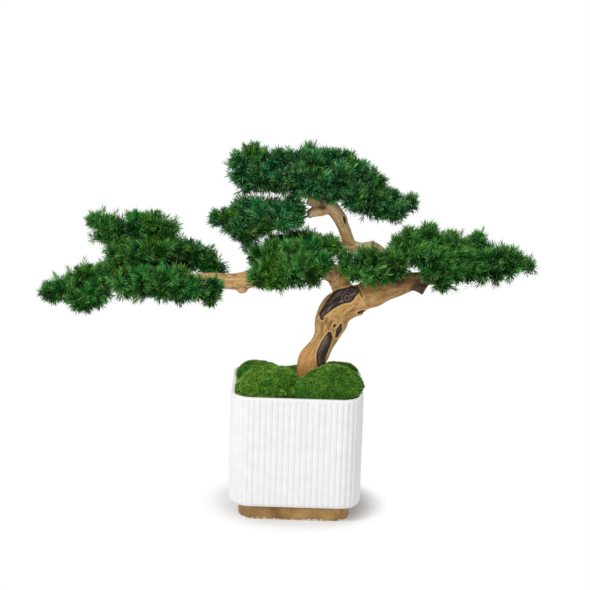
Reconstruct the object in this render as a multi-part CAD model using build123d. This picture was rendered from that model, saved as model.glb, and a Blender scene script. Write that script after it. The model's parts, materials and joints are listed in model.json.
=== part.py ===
"""Artificial tabletop pine: a driftwood tree with five wired needle pads, in a reeded ceramic planter.

Millimetres, +Z up, +X to the tree's right. The origin is the middle of the flat face under the foot.
Each node is one real piece. The five pads turn on steel wires that sit in holes drilled in the limbs.
"""

import os
from math import cos, pi, sin

from build123d import *

# Planter: a reeded box with rounded corners on a narrower gilded foot.
PLANTER_WIDTH = 206.0
PLANTER_HEIGHT = 200.0
PLANTER_CORNER = 36.0
PLANTER_WALL = 7.0
PLANTER_FLOOR = 8.0
PLANTER_BOTTOM_ROUND = 9.0
REED_COUNT = 84
REED_DEPTH = 0.9
FOOT_WIDTH = 174.0
FOOT_HEIGHT = 24.0
FOOT_CORNER = 30.0
FOOT_WALL = 9.0
FOOT_FLOOR = 7.0
FOOT_BOTTOM_ROUND = 3.0

# What fills the planter and holds the tree up.
FILL_GAP = 0.3
BALLAST_HEIGHT = 24.0
FOAM_TOP = PLANTER_HEIGHT - 18.0
ROD_RADIUS = 4.0
ROD_BOTTOM = 42.0
ROD_TOP = 196.0
ROD_GAP = 0.1
TRUNK_FOOT = (20.0, 0.0, 132.0)
TRUNK_FOOT_RADIUS = 17.0

# Wood joints and wire sockets.
DOWEL_RADIUS = 4.0
DOWEL_REACH = 16.0
DOWEL_GAP = 0.1
WIRE_RADIUS = 1.6
SOCKET_CLEARANCE = 0.05
SOCKET_DEPTH = 22.0
SOCKET_END_GAP = 1.0
SHANK_REACH = 12.0
WIRE_CLEARANCE = 0.4

# Room between the pieces of a pad, and between a pad and the wood that it turns past.
SPRAY_GAP = 0.5
BALL_FIT = 0.94
LIMB_ROOM = 8.0
SWING_ROOM = LIMB_ROOM + 4.0
CROWN_SOCKET_ROOM = 26.0

INNER_WIDTH = PLANTER_WIDTH - 2 * PLANTER_WALL
INNER_CORNER = PLANTER_CORNER - PLANTER_WALL
FLOOR_TOP = FOOT_HEIGHT + PLANTER_FLOOR
BALLAST_TOP = FLOOR_TOP + BALLAST_HEIGHT

# Centrelines of the wood: x, y, z and radius at each station, from the root end to the tip.
# Each line runs through two pieces of wood, which are cut apart square to it at its joint station.
TRUNK_LINE = [
    (20, 0, 132, 17),
    (20, 0, 190, 17),
    (19, 0, 216, 19.5),
    (21, 0, 236, 20.5),
    (35, 0, 261, 18.5),
    (44, 0, 279, 20),
    (50, 0, 300, 24),
    (60, 0, 320, 27),
    (80, 0, 334, 23),
    (98, 0, 341, 20.5),
    (116, 0, 349.5, 21.5),
    (140, 0, 359.5, 19),
    (165, 0, 366.5, 16),
    (190, 0, 373, 12),
    (235, 0, 383, 7.5),
]
RIGHT_JOINT = 9
LEFT_LINE = [
    (74, 0, 332, 17),
    (66, 0, 352, 16),
    (56, 0, 371, 15),
    (36, 2, 384, 15),
    (0, 4, 389, 14.5),
    (-45, 3, 378, 14),
    (-80, 0, 364, 13.5),
    (-112, 0, 359, 12),
    (-152, 0, 361, 10.5),
    (-192, 0, 357, 9),
    (-230, 0, 350, 7.5),
]
LEFT_JOINT = 2
LEFT_KNOB = (-91, -2, 351, 8)
RIGHT_STUB_LINE = [(168, -2, 368, 11), (184, -4, 362, 9.5), (195, -6, 356, 9)]
TOP_RUN_LINE = [
    (141, 2, 362, 12),
    (143.5, 11, 380, 10),
    (142, 19, 393, 9.5),
    (129, 26, 405, 9.5),
    (112, 28, 414, 10),
    (94, 24, 414.5, 8.5),
    (76, 19, 418, 9),
    (57, 14, 419, 6.5),
]
TOP_JOINT = 1
TOP_RISE_LINE = [
    (79, 20, 418, 7),
    (71, 15, 431, 9.5),
    (65, 11, 446, 9.5),
    (57, 6, 463, 10),
    (46, 3, 479, 11),
    (34, 1, 488, 10),
]
UPPER_STUB_LINE = [(37, 1, 486, 9), (22, -1, 489, 8.5), (7, -3, 492, 7)]
LOWER_STUB_LINE = [(42, 2, 479, 9), (24, -1, 475.5, 8.5), (8, -4, 469, 6.8)]
STATION_SPACING = 9.0

# Each pad: the point and direction of its socket, how far it turns each way, and its needle sprays.
# A spray is a cloud of round clumps, each x, y, z and radius.
PADS = {
    "left": {
        "socket": (-230, 0, 350),
        "axis": (-0.98, 0, -0.199),
        "turn": 12.0,
        "twigs": [(-300, 0, 348), (-368, -5, 340)],
        "side_twigs": [
            [(-262, 0, 343), (-262, 0, 400), (-240, -2, 432)],
            [(-262, 0, 400), (-310, 6, 430)],
            [(-262, 0, 343), (-215, -42, 356)],
            [(-262, 0, 343), (-215, 42, 368)],
        ],
        "sprays": {
            "tip": [
                (-392, -4, 335, 13),
                (-372, -4, 342, 17),
                (-345, -5, 348, 20),
                (-316, -4, 352, 21),
                (-334, -4, 364, 15),
                (-306, -4, 366, 15),
                (-340, -22, 328, 17),
                (-317, -23, 334, 15),
                (-334, 18, 342, 18),
            ],
            "crown": [
                (-319, 8, 445, 14),
                (-311, 5, 431, 14),
                (-302, 6, 446, 11),
                (-291, 2, 426, 18),
                (-284, 2, 434, 18),
                (-258, 0, 440, 20),
                (-232, 0, 444, 20),
                (-214, 2, 437, 18),
                (-246, 24, 428, 20),
            ],
            "heart": [
                (-279, -10, 400, 21),
                (-246, -11, 399, 24),
                (-218, -8, 402, 22),
                (-198, -2, 410, 16),
                (-284, -10, 374, 20),
                (-250, 20, 398, 23),
                (-216, 22, 400, 19),
            ],
            "front": [
                (-272, -36, 360, 19),
                (-243, -42, 362, 21),
                (-214, -46, 362, 21),
                (-186, -48, 355, 19),
                (-160, -48, 358, 17),
                (-137, -47, 358, 14),
                (-190, -42, 372, 16),
                (-139, -42, 340, 9),
            ],
            "back": [
                (-133, 25, 372, 11),
                (-148, 28, 385, 15),
                (-168, 32, 392, 18),
                (-184, 34, 402, 14),
                (-190, 38, 380, 20),
                (-216, 44, 368, 20),
                (-246, 44, 360, 20),
                (-276, 36, 356, 19),
            ],
        },
    },
    "crown": {
        "socket": (36, 1, 499),
        "axis": (0, 0, 1),
        "turn": 15.0,
        "twigs": [(36, 1, 516)],
        "side_twigs": [
            [(36, 1, 516), (-20, -8, 534), (-75, -8, 542)],
            [(36, 1, 516), (90, -8, 510), (138, -8, 492)],
            [(36, 1, 516), (30, 44, 536)],
            [(36, 1, 516), (38, 2, 556)],
            [(36, 1, 516), (8, -30, 526)],
        ],
        "sprays": {
            "left": [
                (-98, -11, 548, 16),
                (-79, -4, 555, 18),
                (-95, -10, 532, 17),
                (-66, -12, 528, 20),
                (-84, -14, 519, 14),
                (-56, -14, 519, 15),
                (-44, -4, 545, 19),
                (-70, 21, 541, 21),
                (-41, 33, 537, 20),
            ],
            "front": [
                (-32, -24, 524, 17),
                (-6, -30, 526, 20),
                (24, -34, 524, 20),
                (54, -26, 530, 20),
                (10, -14, 546, 18),
                (46, -30, 512, 15),
            ],
            "top": [
                (-20, 6, 547, 17),
                (6, 4, 550, 16),
                (30, 4, 552, 16),
                (52, 4, 555, 14),
                (67, 5, 559, 10),
                (4, 30, 547, 21),
                (36, 34, 544, 21),
            ],
            "right": [
                (83, 0, 537, 17),
                (104, -2, 521, 18),
                (78, -24, 501, 18),
                (100, -20, 495, 20),
                (122, -14, 488, 18),
                (132, -8, 501, 13),
                (148, -8, 488, 14),
                (163, -6, 493, 12),
                (142, -15, 480, 14),
                (80, 28, 530, 19),
                (106, 22, 510, 18),
            ],
        },
    },
    "middle": {
        "socket": (10, -4, 468),
        "axis": (-0.928, -0.174, -0.33),
        "turn": 12.0,
        "twigs": [(-60, -8, 462), (-128, -2, 460)],
        "side_twigs": [
            [(-60, -8, 462), (-88, -20, 440)],
            [(-60, -8, 462), (-62, 30, 468)],
        ],
        "sprays": {
            "tip": [
                (-133, 0, 459, 9),
                (-115, -3, 458, 15),
                (-94, 0, 467, 17),
                (-92, 3, 481, 10),
                (-97, -15, 447, 16),
                (-87, -18, 434, 13),
                (-102, 20, 460, 15),
            ],
            "front": [
                (-64, -10, 469, 18),
                (-38, -14, 473, 18),
                (-15, -16, 477, 15),
                (-16, -14, 490, 12),
                (-62, -22, 453, 15),
                (-32, -24, 461, 14),
                (-8, -20, 465, 11),
            ],
            "back": [
                (-76, 28, 466, 18),
                (-50, 32, 467, 18),
                (-24, 28, 466, 16),
            ],
        },
    },
    "centre": {
        "socket": (-5, 4, 403),
        "axis": (0, 0, 1),
        "turn": 8.0,
        "twigs": [(-5, 4, 418)],
        "side_twigs": [
            [(-5, 4, 418), (-40, -30, 404), (-40, -50, 380)],
            [(-5, 4, 418), (34, -20, 418)],
            [(-5, 4, 418), (-12, 34, 416)],
            [(-5, 4, 418), (4, -48, 390)],
        ],
        "sprays": {
            "front": [
                (-64, -46, 377, 14),
                (-36, -50, 377, 16),
                (-10, -50, 382, 17),
                (17, -47, 386, 17),
                (-54, -44, 391, 16),
                (-26, -48, 395, 17),
                (4, -46, 400, 16),
                (33, -40, 400, 14),
            ],
            "top": [
                (-69, -28, 408, 14),
                (-46, -28, 411, 16),
                (-18, -28, 415, 16),
                (8, -24, 421, 17),
                (32, -18, 423, 16),
                (46, -14, 423, 13),
                (4, -8, 435, 10),
            ],
            "back": [
                (-42, 28, 412, 18),
                (-14, 32, 417, 18),
                (14, 30, 419, 17),
            ],
        },
    },
    "right": {
        "socket": (235, 0, 383),
        "axis": (0.98, 0, 0.199),
        "turn": 10.0,
        "twigs": [(290, 0, 394), (335, -2, 412)],
        "side_twigs": [
            [(262, 0, 388.4), (262, 0, 412), (210, 0, 428)],
            [(262, 0, 412), (200, -24, 404), (125, -34, 398)],
            [(262, 0, 388.4), (240, 34, 408)],
        ],
        "sprays": {
            "near": [
                (66, -35, 411, 9),
                (71, -36, 401, 12),
                (93, -36, 405, 15),
                (112, -35, 406, 16),
                (134, -31, 406, 16),
                (86, -42, 388, 13),
                (106, -43, 388, 14),
                (127, -40, 389, 14),
                (147, -36, 393, 15),
            ],
            "crest": [
                (152, -8, 427, 13),
                (155, -18, 416, 15),
                (171, -8, 436, 15),
                (193, -6, 445, 15),
                (176, -22, 416, 17),
                (203, -10, 430, 18),
                (206, -26, 410, 18),
                (232, -6, 432, 15),
                (232, -22, 414, 17),
                (200, -36, 393, 15),
                (221, -35, 392, 15),
                (219, -36, 376, 12),
                (241, -28, 392, 14),
            ],
            "tip": [
                (263, -10, 406, 17),
                (288, -5, 407, 18),
                (270, -1, 426, 10),
                (273, 1, 438, 10),
                (312, -2, 411, 17),
                (260, -14, 391, 14),
                (282, -12, 390, 14),
                (302, -10, 391, 14),
                (322, -6, 396, 15),
                (330, -2, 407, 15),
                (342, -1, 402, 9),
                (352, -1, 400, 9),
            ],
            "back": [
                (178, 36, 408, 18),
                (204, 38, 411, 19),
                (232, 36, 412, 19),
                (260, 30, 412, 18),
                (286, 24, 412, 15),
            ],
        },
    },
}

# Moss cushions on the foam: centre x, y and base z, then half-length, half-depth and height.
MOSS = {
    "moss_left_front": (-50, -50, 184, 50, 48, 52),
    "moss_left_back": (-56, 26, 184, 46, 42, 39),
    "moss_right_front": (56, -36, 184, 51, 56, 55),
    "moss_front_centre": (20, -72, 184, 26, 26, 31),
    "moss_right_back": (56, 54, 184, 44, 40, 34),
    "moss_back_centre": (0, 64, 184, 48, 30, 26),
}
MOSS_OVERHANG = 1.0
MOSS_GAP = 0.4
MOSS_CEILING = PLANTER_HEIGHT + 60.0
TRUNK_CLEAR_OF_MOSS = 5


def rounded_box(width, corner, bottom, top):
    """An upright prism with rounded corners."""
    return Pos(0, 0, bottom) * extrude(RectangleRounded(width, width, corner), top - bottom)


def rounded_square_point(width, corner, share):
    """The point this share of the way round a rounded square, from the middle of its +X side."""
    straight = width / 2 - corner
    side = 2 * straight + corner * pi / 2
    quarter, along = divmod(share * 4 * side, side)
    if along <= straight:
        x, y = width / 2, along
    elif along <= straight + corner * pi / 2:
        angle = (along - straight) / corner
        x, y = straight + corner * cos(angle), straight + corner * sin(angle)
    else:
        x, y = straight - (along - straight - corner * pi / 2), width / 2
    turn = quarter * pi / 2
    return x * cos(turn) - y * sin(turn), x * sin(turn) + y * cos(turn)


def reeded_outline(width, corner):
    """A rounded square whose edge is REED_COUNT convex reeds with a groove between each two."""
    groove_width = width - 2 * REED_DEPTH
    arcs = []
    for reed in range(REED_COUNT):
        start = rounded_square_point(groove_width, corner - REED_DEPTH, reed / REED_COUNT)
        crest = rounded_square_point(width, corner, (reed + 0.5) / REED_COUNT)
        end = rounded_square_point(groove_width, corner - REED_DEPTH, (reed + 1) / REED_COUNT % 1)
        arcs.append(ThreePointArc(start, crest, end))
    return make_face(Wire(arcs))


def planter_body():
    """The white ceramic box: reeded walls, a rounded bottom edge and a plain inside."""
    reeded = Pos(0, 0, FOOT_HEIGHT) * extrude(
        reeded_outline(PLANTER_WIDTH, PLANTER_CORNER), PLANTER_HEIGHT - FOOT_HEIGHT
    )
    envelope = rounded_box(PLANTER_WIDTH + 1, PLANTER_CORNER + 0.5, FOOT_HEIGHT, PLANTER_HEIGHT)
    bottom_edges = envelope.faces().sort_by(Axis.Z)[0].edges()
    envelope = fillet(bottom_edges, PLANTER_BOTTOM_ROUND)
    inside = rounded_box(INNER_WIDTH, INNER_CORNER, FLOOR_TOP, PLANTER_HEIGHT + 1)
    return reeded & envelope - inside


def planter_foot():
    """The gilded plinth: a shallow tray that carries the box."""
    block = rounded_box(FOOT_WIDTH, FOOT_CORNER, 0, FOOT_HEIGHT)
    block = fillet(block.faces().sort_by(Axis.Z)[0].edges(), FOOT_BOTTOM_ROUND)
    hollow = rounded_box(
        FOOT_WIDTH - 2 * FOOT_WALL, FOOT_CORNER - FOOT_WALL, FOOT_FLOOR, FOOT_HEIGHT + 1
    )
    return block - hollow


def upright_cylinder(x, y, radius, bottom, top):
    return Pos(x, y, bottom) * Cylinder(
        radius, top - bottom, align=(Align.CENTER, Align.CENTER, Align.MIN)
    )


def ballast():
    """Cast stone in the bottom of the planter, with a blind hole for the rod."""
    block = rounded_box(INNER_WIDTH - 2 * FILL_GAP, INNER_CORNER - FILL_GAP, FLOOR_TOP, BALLAST_TOP)
    x, y, _ = TRUNK_FOOT
    return block - upright_cylinder(x, y, ROD_RADIUS + ROD_GAP, ROD_BOTTOM, BALLAST_TOP + 1)


def foam_block():
    """Stiff foam above the ballast, bored for the rod and for the trunk's foot."""
    block = rounded_box(INNER_WIDTH - 2 * FILL_GAP, INNER_CORNER - FILL_GAP, BALLAST_TOP, FOAM_TOP)
    x, y, z = TRUNK_FOOT
    pocket = upright_cylinder(x, y, TRUNK_FOOT_RADIUS + ROD_GAP, z, FOAM_TOP + 1)
    return block - pocket - upright_cylinder(x, y, ROD_RADIUS + ROD_GAP, BALLAST_TOP - 1, z + 1)


def stations_between(line, first, last):
    """Evenly spaced stations on the smooth curve through a line, each with the curve's direction."""
    tangents = []
    for i in range(len(line)):
        behind, ahead = line[max(i - 1, 0)], line[min(i + 1, len(line) - 1)]
        steps = min(i + 1, len(line) - 1) - max(i - 1, 0)
        tangents.append([(b - a) / steps for a, b in zip(behind, ahead)])
    stations = []
    for i in range(first, last):
        length = (Vector(*line[i + 1][:3]) - Vector(*line[i][:3])).length
        count = max(1, round(length / STATION_SPACING))
        for step in range(count + (i == last - 1)):
            t = step / count
            place, slope = [], []
            for p, q, m, n in zip(line[i], line[i + 1], tangents[i], tangents[i + 1]):
                bend, swing = 2 * p - 2 * q + m + n, 3 * q - 3 * p - 2 * m - n
                place.append(p + m * t + swing * t**2 + bend * t**3)
                slope.append(m + 2 * swing * t + 3 * bend * t**2)
            stations.append((Vector(*place[:3]), Vector(*slope[:3]).normalized(), place[3]))
    return stations


def limb(line, first=0, last=None, grow=0.0):
    """Wood along a line from one station to another: round sections, lofted in one smooth skin."""
    sections = []
    for point, direction, radius in stations_between(line, first, last or len(line) - 1):
        side = Vector(0, 1, 0) - direction * direction.Y
        plane = Plane(origin=point, x_dir=side.normalized(), z_dir=direction)
        sections.append(plane * Circle(radius + grow))
    return loft(sections)


def rod_between(start, end, radius):
    """A straight round rod from one point to another."""
    start, end = Vector(*start), Vector(*end)
    plane = Plane(origin=start, z_dir=(end - start).normalized())
    return plane * Cylinder(
        radius, (end - start).length, align=(Align.CENTER, Align.CENTER, Align.MIN)
    )


def dowel(line, joint, grow=0.0):
    """The round pin through the cut at a joint station, half in each piece of wood."""
    point, direction, _ = stations_between(line, joint, joint + 1)[0]
    reach = DOWEL_REACH + grow
    return rod_between(point - direction * reach, point + direction * reach, DOWEL_RADIUS + grow)


def socket_hole(pad):
    """The hole for a pad's wire, drilled back from the socket point into the wood."""
    point, axis = Vector(*pad["socket"]), Vector(*pad["axis"]).normalized()
    hole_radius = WIRE_RADIUS + SOCKET_CLEARANCE
    return rod_between(point - axis * SOCKET_DEPTH, point + axis * SOCKET_DEPTH, hole_radius)


def wire(pad, grow=0.0):
    """A pad's steel wire: the straight shank in its socket, and the twigs that carry the sprays."""
    point, axis = Vector(*pad["socket"]), Vector(*pad["axis"]).normalized()
    shank_start = point - axis * (SOCKET_DEPTH - SOCKET_END_GAP)
    shank_end = point + axis * SHANK_REACH
    runs = [[tuple(shank_start), tuple(shank_end), *pad["twigs"]], *pad["side_twigs"]]
    radius = WIRE_RADIUS + grow
    whole = None
    for run in runs:
        for start, end in zip(run, run[1:]):
            piece = rod_between(start, end, radius)
            whole = piece if whole is None else whole + piece
        for corner in run[1:]:
            whole += Pos(*corner) * Sphere(radius)
    return whole


def many_sided_ball():
    """A cube of half-side 1 with its edges cut back three ways: eighteen flat faces."""
    cube = Box(2, 2, 2)
    return cube & (Rot(45, 0, 0) * cube) & (Rot(0, 45, 0) * cube) & (Rot(0, 0, 45) * cube)


BALL = many_sided_ball()
BALL_TURN = (23, 31, 0)


def clumps(balls, grow=0.0):
    """Many-sided clumps joined into one cloud, each turned a different way so no faces line up."""
    made = []
    for i, (x, y, z, radius) in enumerate(balls):
        turn = Rot(*[angle * (i + 0.5) for angle in BALL_TURN])
        made.append(Pos(x, y, z) * turn * scale(BALL, BALL_FIT * radius + grow))
    return made[0].fuse(*made[1:])


def moss_cushion(name, grow=0.0):
    """The upper half of an egg shape, flat where it lies on the foam."""
    x, y, base, half_length, half_depth, height = MOSS[name]
    egg = scale(Sphere(1), by=(half_length + grow, half_depth + grow, height + grow))
    keep = Pos(0, 0, height) * Box(4 * half_length, 4 * half_depth, 2 * height)
    return Pos(x, y, base) * (egg & keep)


def one_solid(shape):
    """The largest solid of a shape, when a cut has left crumbs beside it."""
    return max(shape.solids(), key=lambda s: s.volume)


os.makedirs("parts", exist_ok=True)


def write(name, shape):
    export_step(shape, f"parts/{name}.step")
    print(name, round(shape.volume), "mm3")


# The planter and what is in it.
write("planter_body", planter_body())
write("planter_foot", planter_foot())
write("ballast", ballast())
write("foam_block", foam_block())
anchor_rod = upright_cylinder(*TRUNK_FOOT[:2], ROD_RADIUS, ROD_BOTTOM, ROD_TOP)
write("anchor_rod", anchor_rod)

# The wood: four pieces, cut flat where they meet and pinned with dowels.
rod_hole = upright_cylinder(*TRUNK_FOOT[:2], ROD_RADIUS + ROD_GAP, ROD_BOTTOM, ROD_TOP + 1)
left_dowel_hole = dowel(LEFT_LINE, LEFT_JOINT, DOWEL_GAP)
right_dowel_hole = dowel(TRUNK_LINE, RIGHT_JOINT, DOWEL_GAP)
top_dowel_hole = dowel(TOP_RUN_LINE, TOP_JOINT, DOWEL_GAP)
trunk = limb(TRUNK_LINE, 0, RIGHT_JOINT) + limb(LEFT_LINE, 0, LEFT_JOINT)
trunk = trunk - rod_hole - left_dowel_hole - right_dowel_hole
left_limb = limb(LEFT_LINE, LEFT_JOINT) + Pos(*LEFT_KNOB[:3]) * Sphere(LEFT_KNOB[3])
left_limb = left_limb - left_dowel_hole - socket_hole(PADS["left"]) - socket_hole(PADS["centre"])
right_limb = limb(TRUNK_LINE, RIGHT_JOINT) + limb(RIGHT_STUB_LINE) + limb(TOP_RUN_LINE, 0, TOP_JOINT)
right_limb = right_limb - right_dowel_hole - top_dowel_hole - socket_hole(PADS["right"])
top_limb = limb(TOP_RUN_LINE, TOP_JOINT) + limb(TOP_RISE_LINE)
top_limb = top_limb + limb(UPPER_STUB_LINE) + limb(LOWER_STUB_LINE)
top_limb = top_limb - top_dowel_hole - socket_hole(PADS["crown"]) - socket_hole(PADS["middle"])
write("trunk", trunk)
write("left_limb", left_limb)
write("right_limb", right_limb)
write("top_limb", top_limb)
write("left_limb_dowel", dowel(LEFT_LINE, LEFT_JOINT))
write("right_limb_dowel", dowel(TRUNK_LINE, RIGHT_JOINT))
write("top_limb_dowel", dowel(TOP_RUN_LINE, TOP_JOINT))

# Moss, each cushion cut back from the ones before it, from the trunk and from the planter's wall.
wall_zone = rounded_box(
    PLANTER_WIDTH + 4 * MOSS_OVERHANG, PLANTER_CORNER, FOAM_TOP - 1, PLANTER_HEIGHT + MOSS_GAP
)
wall_zone -= rounded_box(INNER_WIDTH - 2 * MOSS_GAP, INNER_CORNER, FOAM_TOP - 2, PLANTER_HEIGHT + 1)
above_rim = rounded_box(
    PLANTER_WIDTH + 2 * MOSS_OVERHANG, PLANTER_CORNER + MOSS_OVERHANG, FOAM_TOP, MOSS_CEILING
)
trunk_room = limb(TRUNK_LINE, 0, TRUNK_CLEAR_OF_MOSS, MOSS_GAP)
laid = []
for name in MOSS:
    cushion = (moss_cushion(name) & above_rim) - wall_zone - trunk_room
    for other in laid:
        cushion -= moss_cushion(other, MOSS_GAP)
    write(name, one_solid(cushion))
    laid.append(name)

# The pads: each wire, then its sprays, cut clear of the wires, the wood and one another.
*crown_x_y, crown_z = PADS["crown"]["socket"]
crown_socket_room = upright_cylinder(
    *crown_x_y, CROWN_SOCKET_ROOM, crown_z - SOCKET_DEPTH, crown_z + SHANK_REACH
)
wood_room = {
    "left": [limb(LEFT_LINE, 6, None, LIMB_ROOM)],
    "crown": [
        limb(TOP_RISE_LINE, 2, None, SWING_ROOM),
        limb(UPPER_STUB_LINE, 0, None, SWING_ROOM),
        crown_socket_room,
    ],
    "middle": [
        limb(LOWER_STUB_LINE, 0, None, LIMB_ROOM),
        limb(UPPER_STUB_LINE, 0, None, LIMB_ROOM),
    ],
    "centre": [limb(LEFT_LINE, 3, 7, SWING_ROOM)],
    "right": [
        limb(TRUNK_LINE, RIGHT_JOINT, None, LIMB_ROOM),
        limb(TOP_RUN_LINE, 0, 5, SWING_ROOM),
    ],
}
for pad_name, pad in PADS.items():
    write(f"{pad_name}_pad_wire", wire(pad))
    wire_room = wire(pad, WIRE_CLEARANCE)
    done = []
    for spray_name, balls in pad["sprays"].items():
        spray = clumps(balls) - wire_room
        for room in wood_room[pad_name]:
            spray -= room
        for other in done:
            spray -= clumps(other, SPRAY_GAP)
        write(f"{pad_name}_pad_{spray_name}_spray", one_solid(spray))
        done.append(balls)
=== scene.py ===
# %% [markdown]
# # A tabletop pine on driftwood
# The tree is a real one in make-believe clothes: bare driftwood limbs with plastic needles wired to them,
# standing in moss in a reeded white planter on a gold foot. The CAD model gives every piece its size and
# place. It is loaded first and never changed. This lesson then gives each piece its looks.

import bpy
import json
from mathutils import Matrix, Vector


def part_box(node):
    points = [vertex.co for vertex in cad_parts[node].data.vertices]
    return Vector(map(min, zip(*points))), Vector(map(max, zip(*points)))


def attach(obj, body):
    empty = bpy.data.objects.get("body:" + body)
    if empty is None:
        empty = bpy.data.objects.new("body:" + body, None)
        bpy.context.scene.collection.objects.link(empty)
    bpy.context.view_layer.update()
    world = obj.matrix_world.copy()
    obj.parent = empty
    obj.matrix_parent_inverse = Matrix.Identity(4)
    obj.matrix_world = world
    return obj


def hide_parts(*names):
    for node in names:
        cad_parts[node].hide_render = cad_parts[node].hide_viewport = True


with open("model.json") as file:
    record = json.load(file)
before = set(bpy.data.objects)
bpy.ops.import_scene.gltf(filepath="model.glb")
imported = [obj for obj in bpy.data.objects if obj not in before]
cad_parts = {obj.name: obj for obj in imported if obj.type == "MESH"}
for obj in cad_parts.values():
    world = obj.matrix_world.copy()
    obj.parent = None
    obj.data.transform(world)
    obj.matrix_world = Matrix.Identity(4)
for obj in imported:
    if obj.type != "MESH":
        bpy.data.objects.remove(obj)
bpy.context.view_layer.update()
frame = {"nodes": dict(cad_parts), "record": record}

# %% [markdown]
# ## Tools of the trade
# `bmesh` shapes meshes, `numpy` works on many points at once and `mathutils` turns and places things.
# Sizes in this lesson are in millimetres, because the pieces are small, and `MM` turns them into metres.

# %% Imports and the unit
import json
from math import cos, pi, radians, sin

import bmesh
import bpy
import numpy as np
from mathutils import Matrix, Vector, noise

MM = 0.001
scene = bpy.context.scene

# %% [markdown]
# ## The camera
# The tree is seen from the front, a little from above, through a long lens that keeps the planter's sides
# nearly upright. The camera also leans by a degree or two, as a hand-set camera does. The three axes are
# worked out from the two angles, because a matrix built from them leaves nothing to guess.

# %% Camera
CAMERA_FALL = radians(12.0)
CAMERA_LEAN = radians(1.76)
CAMERA_DISTANCE = 2500.0
CAMERA_TARGET = Vector((-8.1, 0.0, 340.7))
LENS = 97.26

forward = Vector((0, cos(CAMERA_FALL), -sin(CAMERA_FALL)))
level_up = Vector((0, sin(CAMERA_FALL), cos(CAMERA_FALL)))
right = Vector((1, 0, 0)) * cos(CAMERA_LEAN) + level_up * sin(CAMERA_LEAN)
up = level_up * cos(CAMERA_LEAN) - Vector((1, 0, 0)) * sin(CAMERA_LEAN)
camera = bpy.data.objects.new("camera", bpy.data.cameras.new("camera"))
camera.data.lens = LENS
camera.data.clip_end = 100
camera.matrix_world = Matrix((right, up, -forward)).transposed().to_4x4()
camera.location = (CAMERA_TARGET - forward * CAMERA_DISTANCE) * MM
scene.collection.objects.link(camera)
scene.camera = camera
print("camera at", [round(c, 3) for c in camera.location])

# %% [markdown]
# ## Writing finishes as sums
# A finish is a tree of shader nodes. Written node by node it is long and hard to read, so `Value` wraps a
# socket and lets `+`, `-`, `*` and `/` add Math nodes, and `Finish` adds any other node in one call.

# %% Sockets that can be added and multiplied
class Value:
    """One output socket in a finish's tree."""

    def __init__(self, finish, socket):
        self.finish = finish
        self.socket = socket

    def maths(self, operation, first, second=0.0):
        return self.finish.node("ShaderNodeMath", {"operation": operation}, {0: first, 1: second})

    def __add__(self, other):
        return self.maths("ADD", self, other)

    def __sub__(self, other):
        return self.maths("SUBTRACT", self, other)

    def __mul__(self, other):
        return self.maths("MULTIPLY", self, other)

    def __truediv__(self, other):
        return self.maths("DIVIDE", self, other)

    def __rsub__(self, other):
        return self.maths("SUBTRACT", other, self)

    __radd__ = __add__
    __rmul__ = __mul__

    def least(self, other):
        return self.maths("MINIMUM", self, other)

    def most(self, other):
        return self.maths("MAXIMUM", self, other)

    def step(self, low, high):
        """0 below low, 1 above high, and a smooth rise between; low may be the larger."""
        settings = {"interpolation_type": "SMOOTHSTEP"}
        return self.finish.node("ShaderNodeMapRange", settings, {0: self, 1: low, 2: high})


# %% A finish and its nodes
class Finish:
    """A material being made: its node tree and its surface shader."""

    def __init__(self, name, constants):
        self.material = bpy.data.materials.new(name)
        self.material.use_nodes = True
        self.tree = self.material.node_tree
        self.surface = self.tree.nodes["Principled BSDF"]
        for socket, value in constants.items():
            self.surface.inputs[socket].default_value = value

    def node(self, kind, settings=None, sockets=None, output=0):
        """Adds a node: its settings first, then the links or values of its sockets."""
        made = self.tree.nodes.new(kind)
        for name, value in (settings or {}).items():
            if name == "stops":
                set_stops(made.color_ramp, value)
            else:
                setattr(made, name, value)
        for name, value in (sockets or {}).items():
            if isinstance(value, Value):
                self.tree.links.new(value.socket, made.inputs[name])
            else:
                made.inputs[name].default_value = value
        return Value(self, made.outputs[output])

    def place(self, stretch=(1, 1, 1)):
        """Where a point is on the piece, in metres, stretched along each axis."""
        where = self.node("ShaderNodeTexCoord", output="Object")
        return self.node("ShaderNodeMapping", {}, {"Vector": where, "Scale": stretch})

    def own(self, attribute, output="Fac"):
        """A number or vector stored on the piece's own points."""
        return self.node("ShaderNodeAttribute", {"attribute_name": attribute}, output=output)

    def noise(self, place, scale, detail=3.0, roughness=0.55, distortion=0.0):
        sockets = {"Vector": place, "Scale": scale, "Detail": detail}
        sockets.update({"Roughness": roughness, "Distortion": distortion})
        return self.node("ShaderNodeTexNoise", {}, sockets)

    def ramp(self, value, stops):
        return self.node("ShaderNodeValToRGB", {"stops": stops}, {"Fac": value})

    def maths_of(self, operation, value):
        """A Math node of one input."""
        return self.node("ShaderNodeMath", {"operation": operation}, {0: value})

    def mix(self, share, first, second, blend="MIX"):
        """Two colours mixed by a share from 0 to 1."""
        settings = {"data_type": "RGBA", "blend_type": blend}
        return self.node("ShaderNodeMix", settings, {0: share, 6: first, 7: second}, output=2)

    def bump(self, height, depth, under=None):
        """A relief of that depth, in millimetres, for the Normal socket."""
        sockets = {"Height": height, "Distance": depth * MM, "Strength": 1.0}
        if under:
            sockets["Normal"] = under
        return self.node("ShaderNodeBump", {}, sockets)

    def feed(self, sockets):
        """Links values to the surface shader's sockets, and returns the finished material."""
        for name, value in sockets.items():
            self.tree.links.new(value.socket, self.surface.inputs[name])
        return self.material


def set_stops(ramp, stops):
    while len(ramp.elements) < len(stops):
        ramp.elements.new(0.5)
    for element, (position, colour) in zip(ramp.elements, stops):
        element.position = position
        element.color = colour


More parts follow.
